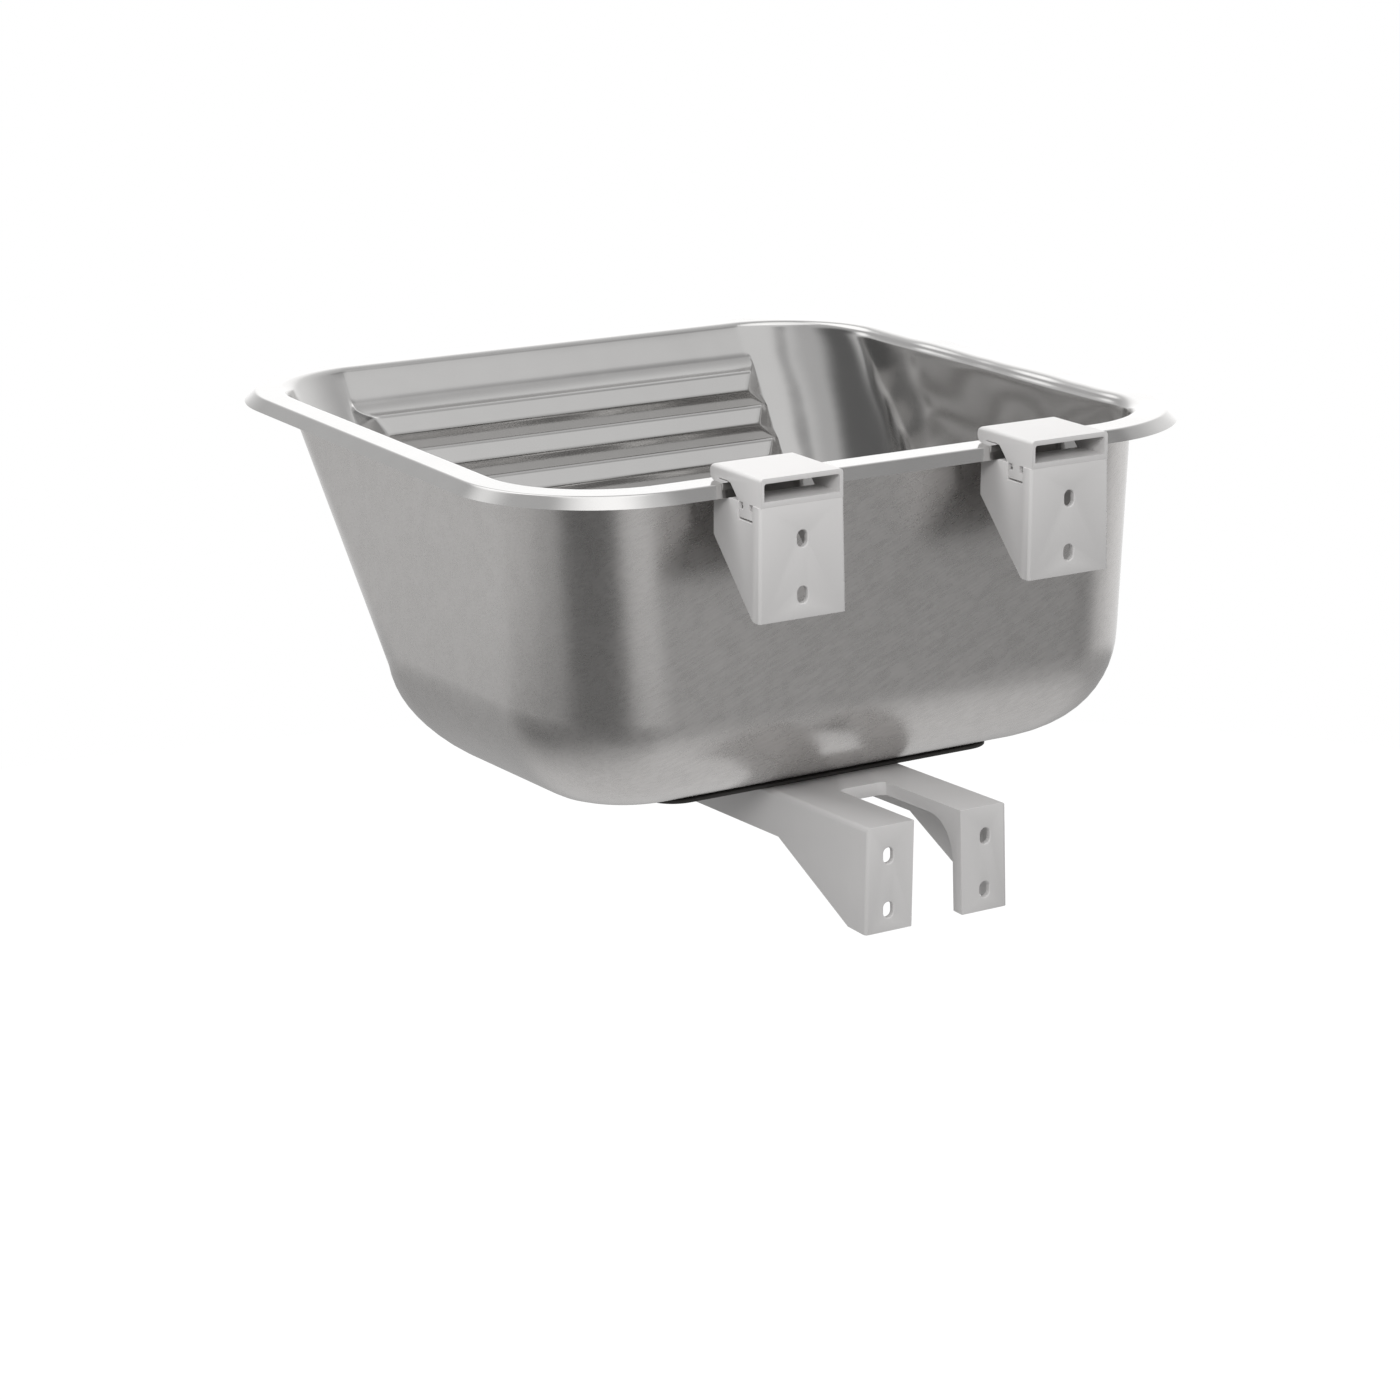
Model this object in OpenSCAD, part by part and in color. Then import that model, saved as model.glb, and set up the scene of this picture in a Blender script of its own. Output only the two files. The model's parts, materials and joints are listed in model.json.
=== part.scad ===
// Wall-hung pressed steel trough with a washboard front, on two consoles and a lower support.
// The wall is the plane y = 0, the user stands on the -Y side, and z = 0 is the top of the rim.

/* [Rim] */
// Width over the lip
rim_w = 530; // [500:1:560]
// Depth over the lip, from back to front
rim_d = 516.5; // [490:0.5:540]
// Gap from the wall to the lip
wall_gap = 37; // [30:0.5:45]
// Corner radius over the lip
rim_r = 104; // [90:1:120]
// Width of the sloping lip in plan
lip_run = 7.2; // [5:0.2:9]
// Height of the sloping lip
lip_drop = 7.2; // [5:0.2:9]
// Outside radius of the bend between the lip and the flange
lip_bend_r = 2.5; // [1.5:0.1:3.5]
// Width from the lip's top edge to the bowl's wall, at each side
side_ledge = 22.8; // [18:0.2:28]
// The same at the back
back_ledge = 25.8; // [20:0.2:30]
// The same at the front
front_ledge = 23.3; // [18:0.1:28]
// Radius of the bend from the flange down into the bowl
mouth_bend_r = 8; // [5:0.5:10]

/* [Bowl] */
// Sheet thickness
sheet_t = 1.2; // [0.8:0.1:1.5]
// Height from the rim's top to the bottom's outside, at the back wall
bowl_h = 224; // [200:1:240]
// Slope of the side walls from upright
side_slope = 1.8; // [0:0.1:4]
// Slope of the back wall from upright
back_slope = 0.3; // [0:0.1:2]
// Slope of the washboard wall from upright
front_slope = 36.5; // [32:0.1:40]
// Fall of the bottom towards the front
bottom_fall = 2.75; // [1:0.05:4]
// Radius between the side walls and the bottom
side_foot_r = 77; // [60:1:85]
// Radius between the back wall and the bottom
back_foot_r = 68; // [55:1:75]
// Radius between the washboard wall and the bottom
front_foot_r = 60; // [45:1:75]
// Back corner radius at the mouth
back_corner_r = 72; // [60:1:80]
// Back corner radius at the foot of the walls
back_corner_foot_r = 78; // [60:1:85]
// Back corner radius on the bottom
back_corner_base_r = 40; // [30:1:50]
// Front corner radius at the mouth
front_corner_r = 80; // [65:1:85]
// Front corner radius at the foot of the walls
front_corner_foot_r = 74; // [60:1:80]
// Front corner radius on the bottom
front_corner_base_r = 80; // [60:1:90]

/* [Washboard] */
// Number of ribs
rib_count = 5; // [3:1:6]
// Distance from one rib to the next, down the slope
rib_pitch = 26.4; // [24:0.2:28]
// Distance down the slope at which the panel leaves the wall
board_start = 14; // [10:0.5:18]
// Distance down the slope to the first rib's face
rib_start = 35.7; // [32:0.1:38]
// Width of a rib's face
rib_face = 13.2; // [11:0.1:15]
// Height of the ribs above the wall
rib_rise = 12.5; // [8:0.1:13]
// Height of the valleys between the ribs
rib_valley = 2; // [1:0.1:4]
// Width of the underside of a rib, from its crest to the valley
rib_under = 8.9; // [7:0.1:10]
// How far the lower edge of a face is drawn in at each end
rib_end_taper = 8; // [4:0.5:10]

/* [Waste] */
// Radius of the waste hole
waste_hole_r = 26; // [22:0.5:30]
// Radius of the flat seat round the hole
waste_seat_r = 34; // [32:0.5:36]
// Depth of the seat below the bottom
waste_seat_drop = 4; // [3:0.5:6]
// Distance of the hole from the wall
waste_y = 268; // [262:1:270]

/* [Console] */
// Distance between the centres of the two consoles
console_pitch = 198.4; // [180:0.2:220]
// Width of a console at its foot
console_w = 62.4; // [56:0.2:66]
// Draft of its sides
console_draft = 1; // [0.5:0.1:1.5]
// Depth of a console from the wall
console_d = 55.3; // [50:0.1:58]
// Height of the wall face
console_h = 72; // [66:0.5:80]
// Height of the upright front
console_front_h = 26; // [20:0.5:32]
// Depth of the foot
console_foot_d = 7.8; // [6:0.1:12]
// Wall thickness
console_t = 3; // [2:0.1:4]
// Thickness of the plate on the wall
console_plate_t = 4; // [3:0.1:5]
// Radius between the slanted underside and the foot
console_foot_r = 5; // [2:0.5:7]
// Radius of the upright edges on the wall
console_edge_r = 2; // [1:0.1:3]
// Distance from the rim's top to the upper screw slot
console_slot_z = 29.3; // [26:0.1:32]
// Distance between the two screw slots
console_slot_pitch = 35.2; // [32:0.1:38]
// Width of the screw slots
slot_w = 7.3; // [6:0.1:8]
// Length of the screw slots
slot_l = 10.7; // [9:0.1:12]
// Nearest distance of the snap notches from the wall
notch_y = 9; // [8:0.1:10]
// Width of the snap notches
notch_w = 17; // [16:0.1:18]
// Depth of the snap notches
notch_h = 11; // [9:0.1:12]
// Size of the chamfer round the screw slots
slot_chamfer = 0.6; // [0.3:0.1:1]

/* [Rim clip] */
// Width of a clip
clip_w = 58.4; // [52:0.1:58.6]
// Height of a clip above the rim's top
clip_rise = 10.8; // [9:0.1:13]
// Thickness of the top
clip_top_t = 3.2; // [2.5:0.1:4]
// Thickness of the sides
clip_side_t = 2.4; // [1.8:0.1:2.8]
// Thickness of the floor
clip_floor_t = 3.6; // [2.5:0.1:4]
// Depth of the floor from the wall
clip_floor_d = 26; // [24:0.5:30]
// Depth of the clip from the wall
clip_d = 60.6; // [59:0.1:64]
// Thickness of the curled end and its spring lip
curl_t = 2.2; // [1.8:0.1:2.5]
// Distance from the wall to the spring lip's tip
lip_tip_d = 40; // [38:0.5:42]
// Length of the spring lip that is bent up
lip_flare = 6; // [4:0.5:8]
// Rise of the spring lip's tip
lip_tip_rise = 1.6; // [1:0.1:1.9]
// Slit between the spring lip and the sides
lip_slit = 0.7; // [0.4:0.1:1]
// Play between the sides and the trough's lip
lip_play = 4; // [3:0.5:5]
// Rounding inside the letterbox's upper corners
clip_inner_r = 1.8; // [1:0.1:2.2]
// Radius of the edges along the top
clip_edge_r = 2.5; // [1.5:0.1:3]
// Width of a tongue's stem
stem_w = 7.3; // [6:0.1:9]
// Height of a tongue's stem
stem_h = 4.4; // [3.5:0.1:5]
// Gap below a tongue's bar
tongue_gap = 1.3; // [0.8:0.1:1.8]
// Play of a tongue's bar in its notch
snap_play = 0.3; // [0.2:0.05:0.6]

/* [Lower support] */
// Distance between the outer sides of the two arms at their feet
arms_w = 109; // [100:1:120]
// Width of the gap between the arms at their feet
gap_w = 38.8; // [34:0.2:44]
// Draft of the arms' sides
arm_draft = 1.45; // [0.5:0.05:2]
// Depth of the gap between the arms
gap_d = 90; // [80:1:100]
// Corner radius at the closed end of the gap
gap_r = 10; // [6:0.5:14]
// Height of the wall faces
arm_h = 71; // [64:0.5:78]
// Depth of the feet on the wall
arm_foot_d = 20.8; // [16:0.2:26]
// Depth at which the underside bends
arm_knee_d = 107.8; // [100:0.2:115]
// Height of the beam beyond the bend
beam_h = 30; // [26:0.5:34]
// Depth of the whole support
support_d = 228; // [215:1:229]
// Wall thickness
support_t = 3; // [2.5:0.1:4]
// Thickness of the plates on the wall
support_plate_t = 4; // [3:0.1:5]
// Radius of the upper edges
support_edge_r = 3.5; // [2.8:0.1:4]
// Radius of the upright edges on the wall
support_corner_r = 2.4; // [1:0.1:2.6]
// Distance between the screw slots of an arm
arm_slot_pitch = 36.3; // [32:0.1:40]
// Distance from the support's top to the upper slot
arm_slot_drop = 20.4; // [18:0.1:24]
// Height of the inner webs beside the gap
inner_web_h = 9; // [9:0.5:16]
// Radius of the hollow of the inner webs
inner_web_r = 25; // [20:0.5:30]
// Height of the closed end's wall
gap_lip_h = 9; // [7:0.5:12]
// Depth of the inner webs at the feet
inner_foot_d = 10; // [8:0.5:12]

/* [Sound pad] */
// Width of the pad
pad_w = 260; // [220:2:280]
// Nearest distance of the pad from the wall
pad_y = 123; // [115:1:125]
// Depth of the pad
pad_d = 103; // [80:1:104]
// Thickness of the pad
pad_t = 2.5; // [1:0.1:3]
// Corner radius of the pad
pad_r = 20; // [10:1:30]

/* [Hidden] */
steel = [0.72, 0.72, 0.73];
plastic = [0.80, 0.80, 0.79];
pad_black = [0.16, 0.16, 0.15];
overrun = 5;
corner_steps = 10;
lip_steps = 2;
mouth_steps = 4;
ramp_steps = 3;
foot_steps = 7;
round_fn = 48;
quarter_angle = 90;
board_reach_share = 5 / 6;
flat_share = 0.9;
side_bend_share = 2 / 3;

// Frame of the bowl: outside faces of its walls at the mouth
lip_angle = atan(lip_drop / lip_run);
mouth_half_w = rim_w / 2 - lip_run - side_ledge;
mouth_back = wall_gap + lip_run + back_ledge;
mouth_front = wall_gap + rim_d - lip_run - front_ledge;
wall_h = bowl_h - mouth_bend_r;
fall = tan(bottom_fall);
fall_from = -(mouth_back + wall_h * tan(back_slope));

// Each direction of the bowl is [ledge, slope, foot radius]
at_side = [side_ledge, side_slope, side_foot_r];
at_back = [back_ledge, back_slope, back_foot_r];
at_front = [front_ledge, front_slope, front_foot_r];

function mix(a, b, share) = a + (b - a) * share;
function unit(v) = v / norm(v);
function height_share(z) = min(1, max(0, (-mouth_bend_r - z) / wall_h));

// The washboard's outline, as [distance down the slope, height above the wall]
rib_starts = [for (i = [0:rib_count - 1]) rib_start + i * rib_pitch];
last_rib_under = rib_under * rib_rise / (rib_rise - rib_valley);
board_ramp = [for (i = [0:ramp_steps - 1])
    [mix(board_start, rib_start, i / ramp_steps), rib_rise * pow(i / ramp_steps, 2)]];
board_ribs = [for (i = [0:rib_count - 1]) let (s = rib_starts[i], last = i == rib_count - 1)
    each [[s, rib_rise], [s + rib_face, rib_rise],
        last ? [s + rib_face + last_rib_under, 0] : [s + rib_face + rib_under, rib_valley]]];
board = concat(board_ramp, board_ribs);
function is_crest(i) = i > ramp_steps && (i - ramp_steps) % 3 == 1;

// A point of the washboard's outline, offset square to it by e
function edge_normal(a, b) = unit([a.y - b.y, b.x - a.x]);
function board_normals(i) = [
    i == 0 ? [0, 1] : edge_normal(board[i - 1], board[i]),
    i == len(board) - 1 ? [0, 1] : edge_normal(board[i], board[i + 1])];
function board_point(i, e) = let (n = board_normals(i), m = unit(n[0] + n[1]))
    board[i] + m * e / (m * n[0]);

// A bowl section in one direction, as [inset from the mouth, z], e above the outside face
function wall_point(slope, s, e) = [0, -mouth_bend_r] + s * [sin(slope), -cos(slope)]
    + e * [cos(slope), sin(slope)];
function wall_start(slope) = -(mouth_bend_r - sheet_t) * tan(slope);
function wall_end(slope, foot_r) = wall_h / cos(slope) - foot_r * tan((90 - slope) / 2);
function lip_end(ledge, e) = [(sheet_t - e) / sin(lip_angle) - ledge - lip_run, -lip_drop];
function lip_bend(ledge, e, share) = let (f = lip_angle * (1 - share), r = lip_bend_r - sheet_t + e)
    [lip_bend_r * tan(lip_angle / 2) - ledge - r * sin(f), r * cos(f) - lip_bend_r];
function mouth_bend(slope, e, share) = let (f = (90 - slope) * share, r = mouth_bend_r - sheet_t + e)
    [(sheet_t - mouth_bend_r) / cos(slope) + r * sin(f), r * cos(f) - mouth_bend_r];
function foot_bend(slope, foot_r, e, share) = let (f = mix(slope, 90, share), r = foot_r - e)
    [wall_h * tan(slope) + foot_r * (1 - sin(slope)) / cos(slope) - r * cos(f),
        foot_r - bowl_h - r * sin(f)];

// Stations along a section, as [part, share of the part, point of the washboard or -1]
LIP = 0;
LIP_BEND = 1;
MOUTH = 2;
WALL = 3;
FOOT = 4;
front_start = wall_start(front_slope);
front_end = wall_end(front_slope, front_foot_r);
stations = concat(
    [[LIP, 0, -1]],
    [for (i = [0:lip_steps]) [LIP_BEND, i / lip_steps, -1]],
    [for (i = [0:mouth_steps]) [MOUTH, i / mouth_steps, -1]],
    [for (i = [0:len(board) - 1]) [WALL, (board[i].x - front_start) / (front_end - front_start), i]],
    [for (i = [0:foot_steps]) [FOOT, i / foot_steps, -1]]);

function section(dir, station, e) = let (slope = dir[1], share = station[1])
    station[0] == LIP ? lip_end(dir[0], e)
    : station[0] == LIP_BEND ? lip_bend(dir[0], e, share)
    : station[0] == MOUTH ? mouth_bend(slope, e, share)
    : station[0] == WALL
        ? wall_point(slope, mix(wall_start(slope), wall_end(slope, dir[2]), share), e)
    : foot_bend(slope, dir[2], e, share);

// Corner radius of the ring at a station, from the radii at the mouth, foot and base
function eased(share) = share * share * (3 - 2 * share);
function corner_radius(radii, station, e) = let (share = station[1])
    station[0] <= MOUTH
        ? mix(radii[0], rim_r, -section(at_side, station, e).x / (side_ledge + lip_run))
    : station[0] == WALL ? mix(radii[0], radii[1], share) - e
    : mix(radii[1], radii[2], eased(share)) - e * cos(quarter_angle * share);

// A ring of the bowl: four corners and, between the front ones, the ends of the washboard.
// A corner fills one quarter of a turn, less the angle cut, taken off its start or, if negative, its end.
board_half_w = mouth_half_w - front_corner_r * board_reach_share;
function fallen(x, y, z, share) = [x, y, z + fall * (y - fall_from) * share];
function corner(cx, cy, r, quarter, cut, end_dir, side, station, e) = [for (i = [0:corner_steps])
    let (from = quarter * quarter_angle + max(0, cut), to = (quarter + 1) * quarter_angle + min(0, cut),
        f = mix(from, to, i / corner_steps), k = pow(sin(f), 2), x = cx + r * cos(f), y = cy + r * sin(f),
        z = mix(side.y, section(end_dir, station, e).y, k),
        share = mix(height_share(section(at_side, station, 0).y),
            height_share(section(end_dir, station, 0).y), k))
    fallen(x, y, z, share)];
function board_end(station) = let (p = board[station[2]])
    board_half_w - p.y - (is_crest(station[2]) ? rib_end_taper : 0);
function front_point(station, e, x, front) = let (
    on_board = station[2] >= 0,
    p = on_board ? board_point(station[2], e) : [0, 0],
    q = on_board ? wall_point(front_slope, p.x, p.y) : front)
    fallen(x, q.x - mouth_front, q.y, height_share(section(at_front, station, 0).y));
function ring(station, e) = let (
    side = section(at_side, station, e),
    back = section(at_back, station, e),
    front = section(at_front, station, e),
    half_w = mouth_half_w - side.x,
    y_back = -(mouth_back + back.x),
    y_front = front.x - mouth_front,
    rb = corner_radius([back_corner_r, back_corner_foot_r, back_corner_base_r], station, e),
    rf = corner_radius([front_corner_r, front_corner_foot_r, front_corner_base_r], station, e),
    on_board = station[2] >= 0,
    start = on_board ? asin(max(0, (board_half_w - half_w + rf) / rf)) : 0,
    x_flat = on_board ? board_end(station) : (half_w - rf) * flat_share)
    concat(
        corner(half_w - rb, y_back - rb, rb, 0, 0, at_back, side, station, e),
        corner(rb - half_w, y_back - rb, rb, 1, 0, at_back, side, station, e),
        corner(rf - half_w, y_front + rf, rf, 2, -start, at_front, side, station, e),
        [front_point(station, e, -x_flat, front), front_point(station, e, x_flat, front)],
        corner(half_w - rf, y_front + rf, rf, 3, start, at_front, side, station, e));

// A four-sided face as two triangles, cut along its other diagonal on the mirrored side
function is_mirrored(i) = i > corner_steps && i < 3 * (corner_steps + 1);
function split(q, other) = other ? [[q[0], q[1], q[3]], [q[1], q[2], q[3]]]
    : [[q[0], q[1], q[2]], [q[0], q[2], q[3]]];

// The pressing without its waste recess: an outside and an inside skin, joined at the lip's edge
module pressed_sheet() {
    count = len(stations);
    n = 4 * (corner_steps + 1) + 2;
    points = [for (e = [0, sheet_t]) for (station = stations) each ring(station, e)];
    function at(skin, j, i) = (skin * count + j) * n + i % n;
    outside = [for (j = [0:count - 2]) for (i = [0:n - 1])
        each split([at(0, j, i), at(0, j, i + 1), at(0, j + 1, i + 1), at(0, j + 1, i)], is_mirrored(i))];
    inside = [for (j = [0:count - 2]) for (i = [0:n - 1])
        each split([at(1, j, i + 1), at(1, j, i), at(1, j + 1, i), at(1, j + 1, i + 1)], !is_mirrored(i))];
    edge = [for (i = [0:n - 1]) [at(0, 0, i + 1), at(0, 0, i), at(1, 0, i), at(1, 0, i + 1)]];
    base = [[for (i = [0:n - 1]) at(0, count - 1, i)], [for (i = [n - 1:-1:0]) at(1, count - 1, i)]];
    polyhedron(points, concat(outside, inside, edge, base));
}

// Everything below the middle of the bottom's sheet, from the waste hole's axis
waste_z = -bowl_h + fall * (-waste_y - fall_from) + sheet_t;
module below_bottom(size) {
    rotate([bottom_fall, 0, 0])
        translate([-size / 2, -size / 2, -size - sheet_t / 2])
            cube(size);
}

// A cup whose flared wall leaves the seat at 45 degrees
module waste_cup(seat_r, drop) {
    top = waste_seat_drop;
    translate([0, 0, -drop])
        cylinder(h = drop + top, r1 = seat_r, r2 = seat_r + drop + top, $fn = round_fn);
}

module bowl() {
    color(steel)
        difference() {
            union() {
                pressed_sheet();
                translate([0, -waste_y, waste_z])
                    intersection() {
                        waste_cup(waste_seat_r + sheet_t / 2, waste_seat_drop + sheet_t);
                        below_bottom(mouth_half_w);
                    }
            }
            translate([0, -waste_y, waste_z]) {
                waste_cup(waste_seat_r, waste_seat_drop);
                translate([0, 0, -waste_seat_drop - overrun])
                    cylinder(h = waste_seat_drop + overrun, r = waste_hole_r, $fn = round_fn);
            }
        }
}

// A rectangle with round corners, centred in x and reaching from y = 0 to y = -d
module round_rect(w, d, r) {
    translate([-w / 2, r - d])
        square([w, d - 2 * r]);
    translate([r - w / 2, -d])
        square([w - 2 * r, d]);
    for (x = [r - w / 2, w / 2 - r])
        for (y = [-r, r - d])
            translate([x, y])
                circle(r, $fn = round_fn);
}

// A rectangle whose corners are round at y = 0 only
module round_ended(w, d, r) {
    round_rect(w, d, r);
    translate([-w / 2, -d])
        square([w, d - r]);
}

// A rectangle with one round corner, which lies at the origin and points towards x_dir and y_dir
module round_corner(x_dir, y_dir, w, d, r) {
    translate([x_dir > 0 ? -w : 0, y_dir > 0 ? -d : r])
        square([w, d - r]);
    translate([x_dir > 0 ? -w : r, y_dir > 0 ? -r : 0])
        square([w - r, r]);
    translate([-x_dir * r, -y_dir * r])
        circle(r, $fn = round_fn);
}

// One side of a moulding, x from the middle at the foot, which leans by its draft
module leaning(x, foot, h, draft) {
    translate([x, 0, foot])
        rotate([0, draft, 0])
            translate([0, 0, -overrun])
                linear_extrude(h + 3 * overrun)
                    children();
}

// The room between two sides that lean towards each other, with round edges at the wall
module drafted(w, d, r, foot, h, draft) {
    intersection() {
        leaning(w / 2, foot, h, -draft)
            round_corner(1, 1, w, d, r);
        leaning(-w / 2, foot, h, draft)
            round_corner(-1, 1, w, d, r);
    }
}

// Turns an outline of [y, z] points into a plate of thickness w, centred in x
module across(w) {
    translate([-w / 2, 0, 0])
        rotate([90, 0, 90])
            linear_extrude(w)
                children();
}

// A screw slot through a plate on the wall, with a chamfered mouth at y = 0
module slot_cut(t, chamfer) {
    half = (slot_l - slot_w) / 2;
    r = slot_w / 2;
    rotate([90, 0, 0]) {
        for (z = [-half, half])
            translate([0, z, -overrun])
                cylinder(h = t + 2 * overrun, r = r, $fn = round_fn);
        translate([-r, -half, -overrun])
            cube([slot_w, 2 * half, t + 2 * overrun]);
        for (z = [-half, half])
            translate([0, z, 0])
                cylinder(h = chamfer, r1 = r + chamfer, r2 = r, $fn = round_fn);
        translate([0, half, 0])
            rotate([90, 0, 0])
                linear_extrude(2 * half)
                    polygon([[-r - chamfer, 0], [r + chamfer, 0], [r, chamfer], [-r, chamfer]]);
    }
}

// Console: wall plate, two sides and a top, open to the front so that its screws can be driven
console_top = -lip_drop;
console_foot = console_top - console_h;
console_cut = console_t + snap_play;
console_top_w = console_w - 2 * console_h * tan(console_draft);
console_slant = atan((console_h - console_front_h) / (console_d - console_foot_d));
console_foot_trim = console_foot_r * tan(console_slant / 2);
module console_outline() {
    polygon([[0, console_top], [-console_d, console_top], [-console_d, console_top - console_front_h],
        [-console_foot_d - console_foot_trim * cos(console_slant),
            console_foot + console_foot_trim * sin(console_slant)],
        [-console_foot_d + console_foot_trim, console_foot], [0, console_foot]]);
    intersection() {
        translate([-console_foot_d + console_foot_trim, console_foot + console_foot_r])
            circle(console_foot_r, $fn = round_fn);
        translate([-console_d, console_foot])
            square([console_d, console_foot_r]);
    }
}

module console_hollow() {
    inner_w = console_top_w - 2 * console_t;
    top = console_top - console_t;
    slant = (console_d - console_foot_d) / (console_h - console_front_h);
    foot = console_foot + console_t;
    across(inner_w)
        polygon([[-console_plate_t, top], [-console_d - overrun, top],
            [-console_d - overrun, console_top - console_front_h],
            [-console_foot_d - console_t * slant - overrun, foot], [-console_plate_t, foot]]);
}

module console() {
    color(plastic)
        difference() {
            intersection() {
                across(console_w)
                    console_outline();
                drafted(console_w, console_d + overrun, console_edge_r, console_foot, console_h,
                    console_draft);
            }
            console_hollow();
            for (z = [-console_slot_z, -console_slot_z - console_slot_pitch])
                translate([0, 0, z])
                    slot_cut(console_plate_t, slot_chamfer);
            for (side = [-1, 1])
                translate([side * (console_top_w / 2 - console_cut / 2 + overrun / 2), 0, 0])
                    across(console_cut + overrun)
                        translate([-notch_y - notch_w, console_top - notch_h])
                            square([notch_w, notch_h + overrun]);
        }
}

// Rim clip: a tube over the console, a curl over the flange with a spring lip, and two tongues
curl_r = clip_rise / 2;
curl_y = curl_r - clip_d;
clip_foot = console_top;
lip_tip_y = -lip_tip_d;
side_start_y = lip_tip_y + lip_play;
side_foot_y = -clip_floor_d - clip_edge_r / 2;
side_bend_y = mix(side_start_y, side_foot_y, side_bend_share);
module clip_outline() {
    polygon([[0, clip_foot], [0, clip_rise], [curl_y, clip_rise], [curl_y, curl_t + lip_slit],
        [lip_tip_y, curl_t + lip_slit], [side_start_y, curl_t], [side_bend_y, clip_foot / 2],
        [side_foot_y, clip_foot]]);
}

module clip_curl() {
    translate([curl_y, clip_rise - curl_r])
        circle(curl_r, $fn = round_fn);
}

module spring_lip() {
    polygon([[curl_y, 0], [lip_tip_y - lip_flare, 0], [lip_tip_y, lip_tip_rise], [lip_tip_y, curl_t],
        [curl_y, curl_t]]);
}

module clip_pocket() {
    inner_top = clip_rise - clip_top_t;
    polygon([[overrun, clip_foot + clip_floor_t], [overrun, inner_top], [curl_y, inner_top],
        [curl_y, curl_t], [side_start_y, curl_t], [side_start_y, clip_foot - overrun],
        [-clip_floor_d, clip_foot - overrun], [-clip_floor_d, clip_foot + clip_floor_t]]);
    translate([curl_y, clip_rise - curl_r])
        circle(curl_r - curl_t, $fn = round_fn);
}

module tongue() {
    bar_h = notch_h - stem_h - tongue_gap;
    bar_w = notch_w - 2 * snap_play;
    middle = -notch_y - notch_w / 2;
    translate([middle - stem_w / 2, clip_foot - stem_h])
        square([stem_w, stem_h + clip_floor_t]);
    translate([middle - bar_w / 2, clip_foot - stem_h - bar_h])
        square([bar_w, bar_h]);
}

module rim_clip() {
    inner_w = clip_w - 2 * clip_side_t;
    color(plastic) {
        difference() {
            intersection() {
                across(clip_w) {
                    clip_outline();
                    clip_curl();
                }
                rotate([90, 0, 0])
                    translate([0, clip_rise, 0])
                        linear_extrude(clip_d)
                            round_ended(clip_w, clip_rise - clip_foot, clip_edge_r);
            }
            intersection() {
                across(inner_w)
                    clip_pocket();
                rotate([90, 0, 0])
                    translate([0, clip_rise - clip_top_t, -overrun])
                        linear_extrude(clip_d + 2 * overrun)
                            round_ended(inner_w, clip_rise - clip_foot + overrun, clip_inner_r);
            }
        }
        across(clip_w)
            spring_lip();
        for (side = [-1, 1])
            translate([side * (clip_w - clip_side_t) / 2, 0, 0])
                across(clip_side_t)
                    tongue();
    }
}

module placed(side) {
    translate([side * console_pitch / 2, 0, 0])
        children();
}

module console_left() {
    placed(-1)
        console();
}

module console_right() {
    placed(1)
        console();
}

module rim_clip_left() {
    placed(-1)
        rim_clip();
}

module rim_clip_right() {
    placed(1)
        rim_clip();
}

// Lower support: two arms and a beam in one channel that is open below, its top square to the bottom
pad_drop = pad_t / cos(bottom_fall);
support_top = -bowl_h - fall * fall_from - pad_drop;
support_foot = support_top - arm_h;
arm_x = (arms_w + gap_w) / 4;
function fallen_line(z, d) = [-d, z - fall * d];

// Side outline of the support, drawn in by t all round
module support_outline(t = 0) {
    top = support_top - t;
    back = t == 0 ? 0 : support_plate_t;
    foot = support_foot - (t == 0 ? 0 : overrun);
    under = t == 0 ? 0 : overrun;
    polygon([fallen_line(top, back), fallen_line(top, support_d - t),
        fallen_line(support_top - beam_h - under, support_d - t),
        fallen_line(support_top - beam_h - under, arm_knee_d),
        [-arm_foot_d - under, foot], [-back, foot]]);
}

// The upper side's round edges, running down with the fall, above sides that widen downwards
arms_widening = arm_h * tan(arm_draft);
arms_top_w = arms_w - 2 * arms_widening;
module round_top(r) {
    w = arms_top_w / 2;
    foot_w = arms_w / 2 + 3 * overrun * tan(arm_draft);
    foot_h = arm_h + 3 * overrun;
    translate([0, 0, support_top])
        rotate([90 + bottom_fall, 0, 0])
            translate([0, 0, -overrun])
                linear_extrude(support_d + 2 * overrun) {
                    polygon([[r - w, 0], [w - r, 0], [w, -r], [foot_w, -foot_h], [-foot_w, -foot_h],
                        [-w, -r]]);
                    for (x = [r - w, w - r])
                        translate([x, -r])
                            circle(r, $fn = round_fn);
                }
}

// The gap between the arms, or with grow the outside of the wall round it
module gap_room(grow) {
    w = gap_w + 2 * grow;
    d = gap_d + grow;
    intersection() {
        leaning(w / 2, support_foot, arm_h, arm_draft)
            translate([0, -d])
                round_corner(1, -1, w, d + overrun, gap_r + grow);
        leaning(-w / 2, support_foot, arm_h, -arm_draft)
            translate([0, -d])
                round_corner(-1, -1, w, d + overrun, gap_r + grow);
    }
}

// Wall of the gap: a low web all round it, deepened by a hollow curve towards the feet
module gap_wall_outline() {
    web_y = inner_foot_d + inner_web_r;
    web_z = support_top - inner_web_h - fall * web_y;
    polygon([fallen_line(support_top, 0), fallen_line(support_top, gap_d + 2 * support_t),
        fallen_line(support_top - gap_lip_h, gap_d + 2 * support_t),
        fallen_line(support_top - inner_web_h, web_y),
        [-inner_foot_d, web_z], [-inner_foot_d, support_foot], [0, support_foot]]);
    difference() {
        translate([-web_y, web_z - inner_web_r])
            square([inner_web_r, inner_web_r]);
        translate([-web_y, web_z - inner_web_r])
            circle(inner_web_r, $fn = round_fn);
    }
}

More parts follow.
